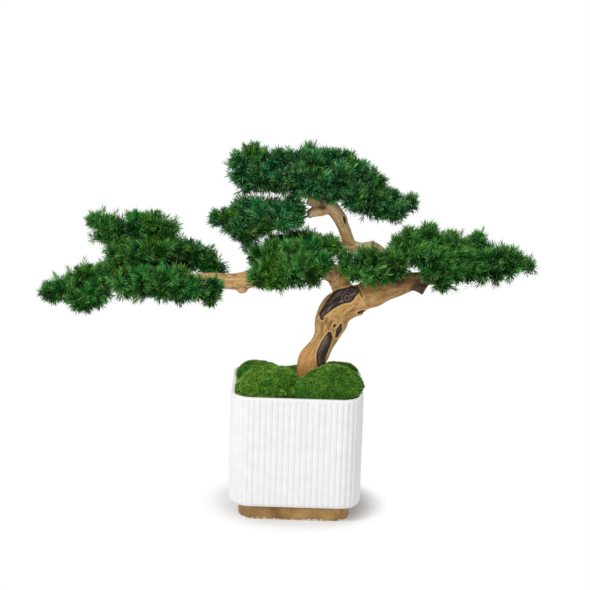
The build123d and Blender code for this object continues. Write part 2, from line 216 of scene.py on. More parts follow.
def paint(red, green, blue):
    """A colour from its everyday 0 to 255 numbers, as the linear light that shaders use."""
    shares = [value / 255 for value in (red, green, blue)]
    return (*[s / 12.92 if s <= 0.04045 else ((s + 0.055) / 1.055) ** 2.4 for s in shares], 1.0)


# %% [markdown]
# ## The driftwood's finish
# The wood is sandblasted root, golden where it is clean and grey-brown where it has weathered, with a fine
# grain that follows each limb round its bends. Straight texture coordinates would cut across the bends, so
# the grain reads `grain`, a place measured along and across the limb that is stored on the mesh later. Left
# in the trunk are islands of old bark, nearly black at the edge and purple-brown inside. `bark` stores how
# far each point is from the nearest bark edge, in millimetres and negative inside, so the edge stays sharp
# however coarse the mesh is. `knot` stores the distance from the ringed knot in the same way. `hollow`
# stores how deep a point lies in a hollow: hollows are darkened as painted shade and ridges made paler as a
# painted highlight. A stored patch value gives orange patches and dark ones: the orange patches and dark
# ones such as the stub's broken end are the wood's own stains, while the dark patches at the fork and
# beside the seams between limbs are painted shade.

# %% Driftwood
BARK_EDGE = paint(38, 33, 31)
BARK_MIDDLE = paint(72, 58, 54)
BARK_HEART = paint(138, 118, 106)
GOLDEN_RIM = paint(224, 186, 120)
ORANGE_WOOD = paint(206, 146, 76)
CRACK_BROWN = paint(96, 68, 38)
STAIN_AND_SHADE_BROWN = paint(58, 44, 32)


def driftwood(name, dark, middle, pale):
    finish = Finish(name, {"Specular IOR Level": 0.3})
    place = finish.place()
    grain = finish.own("grain", "Vector")
    blotches = finish.noise(place, 30, 3.0)
    streaks = finish.noise(grain, 210, 5.0, 0.66, 0.6)
    fibres = finish.noise(grain, 820, 2.0)
    tone = streaks * 0.62 + blotches * 0.38
    wood = finish.ramp(tone, [(0.37, dark), (0.49, middle), (0.61, pale)])
    warmth = finish.noise(place, 17, 2.0).step(0.48, 0.66)
    wood = finish.mix(warmth * 0.4, wood, ORANGE_WOOD)
    wood = finish.mix(fibres.step(0.58, 0.72) * 0.45, wood, dark)
    cracks = finish.noise(grain, 330, 2.0, 0.5, 1.2)
    wood = finish.mix(cracks.step(0.66, 0.73) * 0.55, wood, CRACK_BROWN)
    specks = finish.noise(place, 300, 3.0, 0.7)
    wood = finish.mix(specks.step(0.57, 0.68) * 0.7, wood, CRACK_BROWN)
    dirt = finish.noise(place, 110, 5.0, 0.8)
    wood = finish.mix(dirt.step(0.52, 0.64) * 0.45, wood, CRACK_BROWN)
    wood = finish.mix(specks.step(0.42, 0.3) * 0.4, wood, pale)
    hollow = finish.own("hollow")
    # painted shade in the hollows, darkened towards crack brown, and a painted highlight on the ridges
    wood = finish.mix(hollow.step(0.05, 0.6) * 0.6, wood, CRACK_BROWN)
    wood = finish.mix(hollow.step(-0.05, -0.5) * 0.35, wood, pale)
    # orange patches and some dark ones are the wood's own stains; dark patches at the fork and seams are
    # painted shade
    stain = finish.own("stain") + (blotches - 0.5) * 0.5
    wood = finish.mix(stain.step(-0.1, -0.9) * 0.55, wood, ORANGE_WOOD)
    wood = finish.mix(stain.step(0.15, 0.9) * 0.85, wood, STAIN_AND_SHADE_BROWN)

    ragged = finish.own("bark") + (finish.noise(place, 300, 4.0) - 0.5) * 2.2
    rim = ragged.step(0.2, 0.8) * ragged.step(3.2, 1.0)
    wood = finish.mix(rim * 0.7, wood, GOLDEN_RIM)
    wood = finish.mix(ragged.step(0.2, 0.5) * ragged.step(1.0, 0.6) * 0.5, wood, CRACK_BROWN)
    ridges = finish.noise(grain, 190, 4.0, 0.7, 0.8)
    knot = finish.own("knot")
    rings = finish.maths_of("SINE", knot * 1.7 + ridges * 2.5)
    in_knot = knot.step(9.0, 6.5)
    grooves = (ridges - 0.5) * (2.6 - in_knot * 1.6) + in_knot * (rings * 0.3 - 0.12)
    inwards = (ragged * -0.25).most(0.0).least(1.0) * 0.55 + grooves
    bark = finish.ramp(inwards, [(0.1, BARK_EDGE), (0.38, BARK_MIDDLE), (0.72, BARK_HEART)])
    in_bark = ragged.step(0.35, -0.35)
    relief = streaks * 0.6 + fibres * 0.25 - cracks.step(0.66, 0.73) * 0.4 + in_bark * grooves
    colour = finish.mix(in_bark, wood, bark)
    roughness = in_bark * 0.2 + 0.5 + streaks * 0.2
    normal = finish.bump(relief, 0.8)
    return finish.feed({"Base Color": colour, "Roughness": roughness, "Normal": normal})


TRUNK_WOOD = driftwood("trunk_wood", paint(140, 100, 54), paint(192, 150, 90), paint(228, 190, 128))
LEFT_WOOD = driftwood("left_wood", paint(158, 112, 64), paint(208, 166, 108), paint(234, 200, 146))
RIGHT_WOOD = driftwood("right_wood", paint(116, 82, 44), paint(174, 132, 80), paint(208, 168, 112))
# the top limb is paler wood, lightened further as painted light because the crown's shadow falls on it
TOP_WOOD = driftwood("top_wood", paint(176, 138, 90), paint(238, 202, 150), paint(255, 234, 192))
print("wood finishes:", [m.name for m in (TRUNK_WOOD, LEFT_WOOD, RIGHT_WOOD, TOP_WOOD)])

# %% [markdown]
# ## Needles and moss
# Each needle is far too small for a pattern of its own. What shows is that no two clusters are quite the
# same green, that needles deep inside are darker, which is painted shade, and that tips are paler, which is
# a painted highlight. Every needle therefore carries two numbers in its UV map: across it, its tone from
# dark to light, and along it, how far from root to tip.

# %% Needle and blade greens
def leaf_green(name, tones, tip, tip_share, root_share, tints):
    """Green by tone, in warm and cold patches, with painted shade at the root and a painted highlight at
    the tip.
    """
    finish = Finish(name, {"Roughness": 0.6, "Specular IOR Level": 0.2})
    layer = finish.node("ShaderNodeUVMap", {"uv_map": "OFBake"})
    tone = finish.node("ShaderNodeSeparateXYZ", {}, {0: layer}, output=0)
    along = finish.node("ShaderNodeSeparateXYZ", {}, {0: layer}, output=1)
    # painted shade: the green falls darker towards the root; painted highlight: the tip is mixed towards
    # pale green
    green = finish.ramp(tone - (1.0 - along) * root_share, tones)
    colour = finish.mix(along.step(0.45, 1.0) * tip_share, green, tip)
    patch = finish.noise(finish.place(), 26, 2.0)
    warm, cold = tints
    colour = finish.mix(patch.step(0.52, 0.66), colour, warm, "MULTIPLY")
    colour = finish.mix(patch.step(0.46, 0.32), colour, cold, "MULTIPLY")
    return finish.feed({"Base Color": colour, "Roughness": 0.7 - along * 0.15})


NEEDLE_GREEN = leaf_green(
    "needle_green",
    [
        (0.0, paint(4, 26, 4)),
        (0.25, paint(18, 70, 18)),
        (0.5, paint(54, 122, 44)),
        (0.75, paint(98, 168, 76)),
        (1.0, paint(156, 206, 118)),
    ],
    paint(172, 214, 142),
    0.58,
    0.46,
    [paint(255, 240, 150), paint(170, 250, 250)],
)
DEEP_GREEN = leaf_green(
    "deep_green",
    [
        (0.0, paint(2, 24, 8)),
        (0.25, paint(12, 66, 24)),
        (0.5, paint(46, 118, 56)),
        (0.75, paint(90, 164, 92)),
        (1.0, paint(150, 204, 134)),
    ],
    paint(176, 216, 160),
    0.62,
    0.46,
    [paint(255, 236, 160), paint(160, 250, 255)],
)
MOSS_GREEN = leaf_green(
    "moss_green",
    [
        (0.0, paint(26, 82, 22)),
        (0.3, paint(68, 140, 46)),
        (0.6, paint(116, 176, 64)),
        (0.85, paint(176, 204, 84)),
        (1.0, paint(218, 228, 130)),
    ],
    paint(156, 192, 96),
    0.25,
    0.3,
    [paint(255, 245, 190), paint(220, 255, 230)],
)


def moss_ground(name, dark, light):
    """The mat between the moss's blades, painted darker than they are as the shade in the gaps between
    them.
    """
    finish = Finish(name, {"Roughness": 0.9, "Specular IOR Level": 0.1})
    grains = finish.noise(finish.place(), 700, 3.0)
    clumps = finish.noise(finish.place(), 90, 2.0)
    colour = finish.ramp(grains * 0.6 + clumps * 0.4, [(0.35, dark), (0.65, light)])
    return finish.feed({"Base Color": colour, "Normal": finish.bump(grains, 1.0)})


MOSS_MAT = moss_ground("moss_mat", paint(28, 66, 12), paint(76, 126, 36))
print("greens:", NEEDLE_GREEN.name, MOSS_GREEN.name, MOSS_MAT.name)

# %% [markdown]
# ## Glaze, gold and the hidden pieces
# The planter is matt white glaze with a faint mottle. The foot is the same ceramic under satin gold paint,
# which is chipped to white along its lower edge. The chips are a noise that only passes near the floor.
# The filling is never seen, but it belongs to the object, so it gets its own plain finishes too.

# %% Planter finishes
def white_glaze():
    finish = Finish("white_glaze", {"Roughness": 0.42, "Specular IOR Level": 0.4})
    mottle = finish.noise(finish.place(), 60, 2.0)
    specks = finish.noise(finish.place(), 520, 1.0)
    colour = finish.ramp(mottle, [(0.3, paint(236, 236, 236)), (0.7, paint(243, 243, 243))])
    colour = finish.mix(specks.step(0.76, 0.8) * 0.5, colour, paint(150, 150, 152))
    roughness = mottle * 0.16 + 0.36
    normal = finish.bump(finish.noise(finish.place(), 900, 2.0), 0.02)
    return finish.feed({"Base Color": colour, "Roughness": roughness, "Normal": normal})


def gold_paint():
    finish = Finish("gold_paint", {"Specular IOR Level": 0.5})
    place = finish.place()
    height = finish.node("ShaderNodeSeparateXYZ", {}, {0: place}, output=2) / MM
    grains = finish.noise(place, 1500, 2.0)
    cloud = finish.noise(place, 24, 3.0)
    shades = [(0.4, paint(118, 86, 44)), (0.6, paint(200, 160, 102))]
    gold = finish.ramp(grains * 0.5 + cloud * 0.5, shades)
    ragged = finish.noise(place, 210, 3.0)
    # painted shadow: the foot's top band, under the planter's overhang, is darkened to brown with a cloudy
    # edge
    gold = finish.mix((height + cloud * 4).step(19, 24) * 0.55, gold, paint(96, 68, 34))
    gold = finish.mix(grains.step(0.62, 0.7) * 0.5, gold, paint(104, 76, 40))
    chip = (ragged * 11 - 3.9 - height).step(-0.2, 0.2)
    colour = finish.mix(chip, gold, paint(226, 222, 214))
    metal = 0.55 - chip * 0.55
    roughness = grains * 0.2 + 0.32 + chip * 0.2
    normal = finish.bump(grains * 0.2 - chip * 0.8, 0.4)
    sockets = {"Base Color": colour, "Metallic": metal, "Roughness": roughness, "Normal": normal}
    return finish.feed(sockets)


WHITE_GLAZE = white_glaze()
GOLD_PAINT = gold_paint()

# %% Finishes of the hidden pieces
def plain(name, dark, light, grain, roughness, depth, metal=0.0, stretch=(1, 1, 1)):
    """Two close colours in a noise, with a relief of the same noise."""
    finish = Finish(name, {"Metallic": metal})
    pattern = finish.noise(finish.place(stretch), grain, 3.0)
    colour = finish.ramp(pattern, [(0.35, dark), (0.65, light)])
    rough = pattern * 0.2 + (roughness - 0.1)
    return finish.feed(
        {"Base Color": colour, "Roughness": rough, "Normal": finish.bump(pattern, depth)}
    )


HIDDEN = {
    "ballast": plain("cast_plaster", paint(188, 184, 176), paint(214, 210, 202), 160, 0.9, 0.4),
    "foam_block": plain("dry_foam", paint(66, 88, 48), paint(92, 116, 66), 900, 0.95, 0.5),
    "anchor_rod": plain("drawn_steel", paint(120, 120, 122), paint(158, 158, 160), 300, 0.35, 0.05, 1.0),
}
DOWEL_WOOD = plain(
    "turned_dowel", paint(176, 140, 92), paint(208, 174, 124), 500, 0.7, 0.1, stretch=(1, 1, 0.1)
)
WIRE_TAPE = plain("brown_tape", paint(46, 36, 24), paint(84, 64, 42), 600, 0.8, 0.2)
for name in frame["nodes"]:
    if name.endswith("_dowel"):
        HIDDEN[name] = DOWEL_WOOD
    if name.endswith("_wire"):
        HIDDEN[name] = WIRE_TAPE
for name, material in HIDDEN.items():
    data = frame["nodes"][name].data
    data.materials.clear()
    data.materials.append(material)
print("carried over from the CAD model:", sorted(HIDDEN))

# %% [markdown]
# ## Small helpers for meshes
# A finished piece is an object at the origin with its place in its mesh. `finished` makes one, gives it its
# material, hides the CAD nodes it stands for, and lets it ride on that node's body.

# %% Making and placing pieces
def finished(name, mesh, material, nodes, body="base"):
    """A new piece that stands for these CAD nodes."""
    piece = bpy.data.objects.new(name, mesh)
    scene.collection.objects.link(piece)
    if material:
        mesh.materials.append(material)
    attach(piece, body)
    if nodes:
        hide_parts(*nodes)
    print(name, len(mesh.polygons), "faces")
    return piece


def mesh_of(bm, name, smooth=True):
    """Turns a bmesh into a mesh with smooth or flat shading."""
    mesh = bpy.data.meshes.new(name)
    for face in bm.faces:
        face.smooth = smooth
    bm.to_mesh(mesh)
    bm.free()
    return mesh


def points_of(mesh):
    found = np.empty(len(mesh.vertices) * 3, np.float32)
    mesh.vertices.foreach_get("co", found)
    return found.reshape(-1, 3).astype(float) / MM


def normals_of(mesh):
    found = np.empty(len(mesh.vertices) * 3, np.float32)
    mesh.vertices.foreach_get("normal", found)
    return found.reshape(-1, 3).astype(float)


def move_points(mesh, points):
    mesh.vertices.foreach_set("co", (points * MM).astype(np.float32).ravel())
    mesh.update()


# %% [markdown]
# ## The planter
# The planter is slip-cast: a box with rounded corners and convex reeds. A circle of points is moved onto
# the rounded square, each reed bulging between two grooves, and that ring is extruded downwards for the
# wall and inwards for the rim and the inside. Near the rim and under the bottom curve the reeds fade out.

# %% The reeded outline
box_low, box_high = (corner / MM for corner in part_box("planter_body"))
WIDTH = box_high.x - box_low.x
CORNER = 36.0
WALL = 7.0
REEDS = 84
POINTS_PER_REED = 12
REED_RISE = 1.7


def rounded_square(width, corner, share):
    """The point this share of the way round, and the direction outwards there."""
    straight = width / 2 - corner
    side = 2 * straight + corner * pi / 2
    quarter, along = divmod((share % 1.0) * 4 * side, side)
    turn = quarter * pi / 2
    if along <= straight:
        point, out = Vector((width / 2, along, 0)), 0.0
    elif along <= straight + corner * pi / 2:
        out = (along - straight) / corner
        point = Vector((straight + corner * cos(out), straight + corner * sin(out), 0))
    else:
        point, out = Vector((2 * straight + corner * pi / 2 - along, width / 2, 0)), pi / 2
    spin = Matrix.Rotation(turn, 3, "Z")
    return spin @ point, spin @ Vector((cos(out), sin(out), 0))


def reed_profile(share):
    """0 at a groove and near 1 over most of a reed, which is flattened and convex."""
    across = abs((share * REEDS) % 1.0 - 0.5) * 2
    return 1.0 - across**3


# %% Levels of the wall
RIM_HEIGHT = box_high.z
BOTTOM_HEIGHT = box_low.z
BOTTOM_ROUND = 9.0
REED_FADE = 6.0
INSIDE_DEPTH = 30.0


def wall_levels():
    """Height, inset and reed strength of each ring, from inside the mouth, over the rim, to below."""
    levels = [(RIM_HEIGHT - INSIDE_DEPTH, WALL, 0.0), (RIM_HEIGHT - 1.6, WALL, 0.0)]
    levels += [(RIM_HEIGHT - 0.4, WALL - 0.5, 0.0), (RIM_HEIGHT, WALL - 1.7, 0.0)]
    levels += [(RIM_HEIGHT, 1.9, 0.0), (RIM_HEIGHT - 0.5, 0.8, 0.0), (RIM_HEIGHT - 1.8, 0.25, 0.05)]
    levels += [(RIM_HEIGHT - REED_FADE * 0.7, 0.1, 0.2), (RIM_HEIGHT - REED_FADE, 0.0, 0.75)]
    levels += [(RIM_HEIGHT - REED_FADE * 1.4, 0.0, 1.0)]
    levels += [(BOTTOM_HEIGHT + 60, 0.0, 1.0), (BOTTOM_HEIGHT + BOTTOM_ROUND, 0.0, 1.0)]
    for step in range(1, 7):
        turn = step / 6 * pi / 2
        height = BOTTOM_HEIGHT + BOTTOM_ROUND * (1 - sin(turn))
        levels.append((height, BOTTOM_ROUND * (1 - cos(turn)), 1.0 - step / 6))
    levels.append((BOTTOM_HEIGHT, BOTTOM_ROUND + 22, 0.0))
    return levels


def place_ring(ring, height, inset, strength):
    for i, vert in enumerate(ring):
        share = i / len(ring)
        point, out = rounded_square(WIDTH, CORNER, share)
        groove = REED_RISE * strength * (1 - reed_profile(share))
        vert.co = (point - out * (inset + groove)) * MM
        vert.co.z = height * MM


def ringed_shell(name, levels, count, setter):
    """A ring of points extruded from level to level, open inside and closed below."""
    bm = bmesh.new()
    ring = bmesh.ops.create_circle(bm, segments=count, radius=1.0)["verts"]
    setter(ring, *levels[0])
    edges = list(bm.edges)
    for level in levels[1:]:
        made = bmesh.ops.extrude_edge_only(bm, edges=edges)["geom"]
        edges = [e for e in made if isinstance(e, bmesh.types.BMEdge)]
        ring = next_ring(ring, edges)
        setter(ring, *level)
    bmesh.ops.contextual_create(bm, geom=edges)
    bmesh.ops.recalc_face_normals(bm, faces=bm.faces)
    return mesh_of(bm, name)


def next_ring(ring, edges):
    """The new ring's points in the old ring's order: each hangs on an edge from the old one."""
    fresh = {v for e in edges for v in e.verts}
    return [next(e.other_vert(v) for e in v.link_edges if e.other_vert(v) in fresh) for v in ring]


finished(
    "planter_body",
    ringed_shell("planter_body", wall_levels(), REEDS * POINTS_PER_REED, place_ring),
    WHITE_GLAZE,
    ["planter_body"],
)

# %% [markdown]
# ## The gold foot
# The foot is a plain block under the planter, with softer corners and a lightly rounded lower edge. It is
# made in the same way, without reeds.

# %% Foot
foot_low, foot_high = (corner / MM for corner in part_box("planter_foot"))
FOOT_WIDTH = foot_high.x - foot_low.x
FOOT_CORNER = 30.0
FOOT_ROUND = 3.0


def foot_levels():
    levels = [(foot_high.z - 0.2, 30.0), (foot_high.z - 0.2, 0.6), (foot_high.z - 0.8, 0.0)]
    levels.append((FOOT_ROUND, 0.0))
    for step in range(1, 5):
        turn = step / 4 * pi / 2
        levels.append((FOOT_ROUND * (1 - sin(turn)), FOOT_ROUND * (1 - cos(turn))))
    return levels


def place_foot_ring(ring, height, inset):
    for i, vert in enumerate(ring):
        point, out = rounded_square(FOOT_WIDTH, FOOT_CORNER, i / len(ring))
        vert.co = (point - out * inset) * MM
        vert.co.z = height * MM


finished(
    "planter_foot",
    ringed_shell("planter_foot", foot_levels(), 240, place_foot_ring),
    GOLD_PAINT,
    ["planter_foot"],
)

# %% [markdown]
# ## Driftwood
# Each limb starts as a copy of the CAD model's wood, so its line, joints and drilled holes are right. The
# copy is welded, then the Remesh modifier covers it with small even squares, which can be pushed about like
# clay. Swellings, flutes and hollows are such pushes. The centreline gives each point its place along and
# across the limb for the grain.

# %% Even clay from a CAD solid
def clay(node, voxel, rounds=2):
    """An evenly meshed copy of a CAD node, a little smoothed."""
    bm = bmesh.new()
    bm.from_mesh(frame["nodes"][node].data)
    bmesh.ops.remove_doubles(bm, verts=bm.verts, dist=0.01 * MM)
    rough = mesh_of(bm, "clay")
    lump = bpy.data.objects.new("clay", rough)
    scene.collection.objects.link(lump)
    remesh = lump.modifiers.new("remesh", "REMESH")
    remesh.mode = "VOXEL"
    remesh.voxel_size = voxel * MM
    ready = lump.evaluated_get(bpy.context.evaluated_depsgraph_get())
    bm = bmesh.new()
    bm.from_mesh(ready.to_mesh())
    bpy.data.objects.remove(lump)
    for _ in range(rounds):
        bmesh.ops.smooth_vert(
            bm, verts=bm.verts, factor=0.5, use_axis_x=True, use_axis_y=True, use_axis_z=True
        )
    return mesh_of(bm, node)


# %% Centrelines
# x, y, z along the middle of each limb, from root to tip.
TRUNK_LINE = [(20, 0, 150), (19, 0, 216), (21, 0, 236), (34, 0, 261), (44, 0, 279), (50, 0, 300)]
TRUNK_LINE += [(60, 0, 320), (80, 0, 334), (98, 0, 341)]
RIGHT_LINE = [(80, 0, 334), (98, 0, 341), (116, 0, 350), (140, 0, 359), (165, 0, 366), (235, 0, 383)]
LEFT_LINE = [(66, 0, 352), (56, 0, 371), (36, 2, 384), (0, 4, 389), (-45, 3, 378), (-80, 0, 365)]
LEFT_LINE += [(-112, 0, 360), (-152, 0, 361), (-192, 0, 357), (-230, 0, 350)]
TOP_LINE = [(141, 2, 362), (143, 11, 380), (142, 19, 393), (131, 26, 405), (110, 28, 413)]
TOP_LINE += [(84, 22, 420), (68, 16, 431), (61, 10, 448), (53, 6, 465), (43, 3, 481), (33, 1, 489)]


def along_line(points, line):
    """For each point: how far along the line it is, and its place across it."""
    line = np.array(line, float)
    starts, spans = line[:-1], line[1:] - line[:-1]
    lengths = np.linalg.norm(spans, axis=1)
    before = np.concatenate([[0], np.cumsum(lengths)[:-1]])
    offsets = points[:, None] - starts
    share = np.clip((offsets * spans).sum(2) / lengths**2, 0, 1)
    away = offsets - share[..., None] * spans
    nearest = (away**2).sum(2).argmin(1)
    rows = np.arange(len(points))
    along = before[nearest] + share[rows, nearest] * lengths[nearest]
    across = away[rows, nearest]
    direction = spans[nearest] / lengths[nearest][:, None]
    side = np.array([0, 1, 0]) - direction * direction[:, 1:2]
    side /= np.linalg.norm(side, axis=1)[:, None]
    rise = np.cross(direction, side)
    return along, (across * side).sum(1), (across * rise).sum(1)


# %% Pushing the clay
def swell(points, normals, knobs):
    """Moves points out (or in) near each knob: x, y, z, reach and push."""
    for x, y, z, reach, push in knobs:
        near = np.exp(-(((points - (x, y, z)) / reach) ** 2).sum(1))
        points = points + normals * (near * push)[:, None]
    return points


def flute(points, normals, along, side, rise, depth):
    """Long shallow ridges that run with the limb and wander round it."""
    lift = [noise.noise((s * 0.07, r * 0.07, a * 0.012)) for s, r, a in zip(side, rise, along)]
    fine = [noise.noise((s * 0.22, r * 0.22, a * 0.03 + 9)) for s, r, a in zip(side, rise, along)]
    push = np.array(lift) * depth + np.array(fine) * depth * 0.35
    return points + normals * push[:, None]


def chain_distance(x, z, chain):
    """How far a point of the front view is outside a chain of round spots: x, z, radius."""
    best = np.full(len(x), 1e3)
    for (x1, z1, r1), (x2, z2, r2) in zip(chain, chain[1:]):
        dx, dz = x2 - x1, z2 - z1
        share = ((x - x1) * dx + (z - z1) * dz) / max(dx * dx + dz * dz, 1e-6)
        share = np.clip(share, 0, 1)
        reach = np.hypot(x - x1 - share * dx, z - z1 - share * dz) - (r1 + share * (r2 - r1))
        best = np.minimum(best, reach)
    return best


# %% [markdown]
# The bark islands and holes are drawn on the front and the back of the wood as chains of round spots.
# Inside an island the wood is sunk by a millimetre or so, and its edge stands up as a thin lip.

# %% Carving the bark islands
BARK_FAR = 8.0
FRONT, BACK = -1.0, 1.0
ISLAND_SINK = 1.4
ISLAND_LIP = 0.8


def carve(points, normals, islands):
    """Sinks the islands on each side, and gives each point's distance from the nearest edge."""
    bark = np.full(len(points), BARK_FAR)
    for side, chain in islands:
        facing = np.clip((normals[:, 1] * side - 0.05) * 5, 0, 1)
        reach = chain_distance(points[:, 0], points[:, 2], chain)
        bark = np.minimum(bark, reach + (1 - facing) * BARK_FAR)
    inside = np.clip(0.5 - bark / 1.6, 0, 1)
    edge = np.exp(-(((bark - 1.4) / 1.3) ** 2))
    push = edge * ISLAND_LIP - inside * ISLAND_SINK
    return points + normals * push[:, None], np.clip(bark, -BARK_FAR, BARK_FAR)


def hollows(mesh, points, normals, rounds=14):
    """How deep each point lies in a hollow, in millimetres; on a ridge it is negative."""
    edges = np.empty(len(mesh.edges) * 2, np.int32)
    mesh.edges.foreach_get("vertices", edges)
    first, second = edges.reshape(-1, 2).T
    meeting = np.bincount(edges, minlength=len(points))[:, None]
    smooth = points
    for _ in range(rounds):
        total = np.zeros_like(points)
        np.add.at(total, first, smooth[second])
        np.add.at(total, second, smooth[first])
        smooth = total / meeting
    depth = ((smooth - points) * normals).sum(1)
    return depth - np.median(depth)


def store(mesh, name, kind, values):
    layer = mesh.attributes.new(name, kind, "POINT")
    field = "value" if kind == "FLOAT" else "vector"
    layer.data.foreach_set(field, np.asarray(values, np.float32).ravel())


GRAIN_STRETCH = 0.13
KNOT_FAR = 40.0
KNOT_BOWL_REACH = 4.0
KNOT_BOWL_DEPTH = 1.6


def wood_piece(node, line, voxel, knobs, islands, material, depth, stains_and_shade, knot=None):
    """A limb: clay from the CAD solid, swollen, fluted and carved, with its grain and bark stored."""
    mesh = clay(node, voxel)
    points, normals = points_of(mesh), normals_of(mesh)
    points = swell(points, normals, knobs)
    along, side, rise = along_line(points, line)
    points = flute(points, normals, along, side, rise, depth)
    points, bark = carve(points, normals, islands)
    from_knot = np.full(len(points), KNOT_FAR)
    if knot:
        from_knot = np.minimum(np.hypot(points[:, 0] - knot[0], points[:, 2] - knot[1]), KNOT_FAR)
        bowl = np.exp(-((from_knot / KNOT_BOWL_REACH) ** 2)) * (normals[:, 1] < 0)
        points = points - normals * (bowl * KNOT_BOWL_DEPTH)[:, None]
    move_points(mesh, points)
    grain = np.stack([side, rise, along * GRAIN_STRETCH], axis=1) * MM
    store(mesh, "grain", "FLOAT_VECTOR", grain)
    store(mesh, "bark", "FLOAT", bark)
    store(mesh, "knot", "FLOAT", from_knot)
    stain = np.zeros(len(points))
    for x, y, z, reach, strength in stains_and_shade:
        near = np.exp(-(((points - (x, y, z)) / reach) ** 2).sum(1))
        stain += near * strength
    store(mesh, "stain", "FLOAT", np.clip(stain, -1, 1))
    store(mesh, "hollow", "FLOAT", hollows(mesh, points, normals_of(mesh)))
    return finished(node, mesh, material, [node])


# %% The trunk
# A swelling is x, y, z, reach and push. A spot of an island is x, z and radius. A stain or shade patch is
# x, y, z, reach and strength, which is brown above zero and orange below; brown at the fork and beside the
# seams is painted shade.
TRUNK_KNOBS = [
    (2, -4, 238, 18, 1.2),
    (26, 0, 302, 13, 1.8),
    (96, -12, 316, 7, 4.5),
    (72, 0, 289, 12, 2.6),
    (80, -6, 302, 9, -2.5),
    (42, -4, 240, 14, 2.0),
    (46, -14, 322, 14, 2.5),
    (84, -18, 326, 12, 2.5),
    (30, -16, 268, 12, 2.0),
    (60, -22, 306, 8, 1.5),
]
SEAM_CRACK = (FRONT, [(88, 361, 1.3), (91, 356, 1.2), (94, 350, 1.0), (97, 344, 0.4)])
TRUNK_ISLANDS = [
    SEAM_CRACK,
    (
        FRONT,
        [
            (35, 308, 2.3),
            (34, 314.5, 3.8),
            (40, 322.5, 5.2),
            (47, 331.5, 7),
            (54.5, 338, 8.6),
            (63.5, 345, 10.8),
            (74.5, 347.5, 10.8),
            (83.5, 353.5, 7),
            (90.5, 357, 3.6),
        ],
    ),
    (
        FRONT,
        [
            (47.5, 285, 3.1),
            (46.5, 278, 6.2),
            (42, 266.5, 8),
            (37, 252, 8.4),
            (36, 240.5, 6.8),
            (36, 229, 4.7),
            (37, 215, 4),
        ],
    ),
    (FRONT, [(65, 301, 1.2), (62.5, 291, 4.2), (59, 279, 2)]),
    (FRONT, [(55.5, 300.5, 1.5), (54.5, 297.5, 1.9)]),
    (FRONT, [(22.5, 223, 2.2), (23.5, 223.5, 1.6)]),
    (FRONT, [(92.5, 319.5, 2.2), (98.5, 320.5, 3.0)]),
    (BACK, [(12, 226, 2), (15, 240, 5), (22, 254, 7), (30, 268, 5), (34, 280, 2)]),
    (BACK, [(58, 300, 2), (64, 310, 5), (72, 322, 8), (84, 332, 6), (92, 338, 2)]),
    (BACK, [(30, 300, 2), (36, 308, 3.4), (40, 318, 2)]),
]
TRUNK_KNOT = (73, 342.5)
TRUNK_STAINS_AND_SHADE = [
    (6, -8, 226, 22, -1.0),
    (14, -14, 246, 20, -0.8),
    (84, -10, 352, 12, -0.9),
    (90, -20, 340, 8, -0.5),
    (40, -12, 298, 9, 0.5),
    (88, 0, 318, 10, 0.6),
    (22, -16, 296, 8, 0.4),
]
wood_piece(
    "trunk", TRUNK_LINE, 1.1, TRUNK_KNOBS, TRUNK_ISLANDS, TRUNK_WOOD, 2.2, TRUNK_STAINS_AND_SHADE, TRUNK_KNOT
)

# %% The other limbs
LEFT_KNOBS = [(-92, 0, 350, 9, 3.0), (30, 0, 398, 14, 2.0), (-130, 0, 370, 14, 1.5)]
LEFT_ISLANDS = [(BACK, [(-60, 378, 1.5), (-42, 382, 4), (-24, 388, 3), (-10, 392, 1)])]
RIGHT_KNOBS = [(104, 0, 362, 14, 2.0), (150, -6, 352, 16, 2.0), (120, -8, 338, 14, 1.5)]
RIGHT_ISLANDS = [SEAM_CRACK, (BACK, [(120, 356, 2), (134, 360, 4.5), (150, 363, 2)])]
TOP_KNOBS = [(66, 2, 465, 6, 2.5), (112, 24, 420, 8, 1.5), (58, 8, 470, 10, 1.0)]
TOP_KNOBS += [(24, -2, 484, 8, 2.0)]
TOP_ISLANDS = [(FRONT, [(64, 467, 1.3), (65.5, 462, 2.0), (67, 457, 0.8)])]
TOP_ISLANDS += [(BACK, [(62, 450, 1.5), (58, 462, 3.5), (52, 472, 1.5)])]
LEFT_STAINS = [
    (46, -10, 366, 9, 0.7),
    (-92, -2, 341, 7, 0.9),
    (-104, 0, 352, 10, 0.5),
    (-104, -6, 371, 6, 0.6),
    (-122, -6, 372, 8, 0.6),
    (20, -8, 380, 14, -0.4),
]
RIGHT_STAINS_AND_SHADE = [
    (200, -9, 356, 13, 3.0),
    (184, -6, 364, 16, 0.7),
    (150, -14, 374, 16, 0.9),
    (112, -10, 366, 14, -0.9),
    (128, -16, 344, 16, -0.5),
    (176, -8, 360, 9, 0.5),
]
TOP_STAINS_AND_SHADE = [
    (30, -6, 484, 8, 1.1),
    (8, -4, 480, 9, 0.9),
    (22, -8, 494, 8, 0.5),
    (66, 8, 434, 12, -1.0),
    (80, 14, 418, 14, -0.6),
    (60, 16, 410, 6, 0.5),
]
wood_piece("left_limb", LEFT_LINE, 1.2, LEFT_KNOBS, LEFT_ISLANDS, LEFT_WOOD, 1.4, LEFT_STAINS)
wood_piece("right_limb", RIGHT_LINE, 1.2, RIGHT_KNOBS, RIGHT_ISLANDS, RIGHT_WOOD, 1.8, RIGHT_STAINS_AND_SHADE)
wood_piece("top_limb", TOP_LINE, 1.1, TOP_KNOBS, TOP_ISLANDS, TOP_WOOD, 1.4, TOP_STAINS_AND_SHADE)

# %% [markdown]
# ## Moss
# The moss is bun moss: soft domes packed side by side, each a dense pile of blades a few millimetres long.
# A dome is clay from its CAD cushion with low lumps pushed into it. Thousands of tiny three-sided blades
# are planted on it. They are placed by chance, but by a seeded chance, so every run grows the same moss.
# The domes swell towards each other at the foot of the trunk and into the planter's back corners, where
# moss that was packed in by hand leaves no gap.

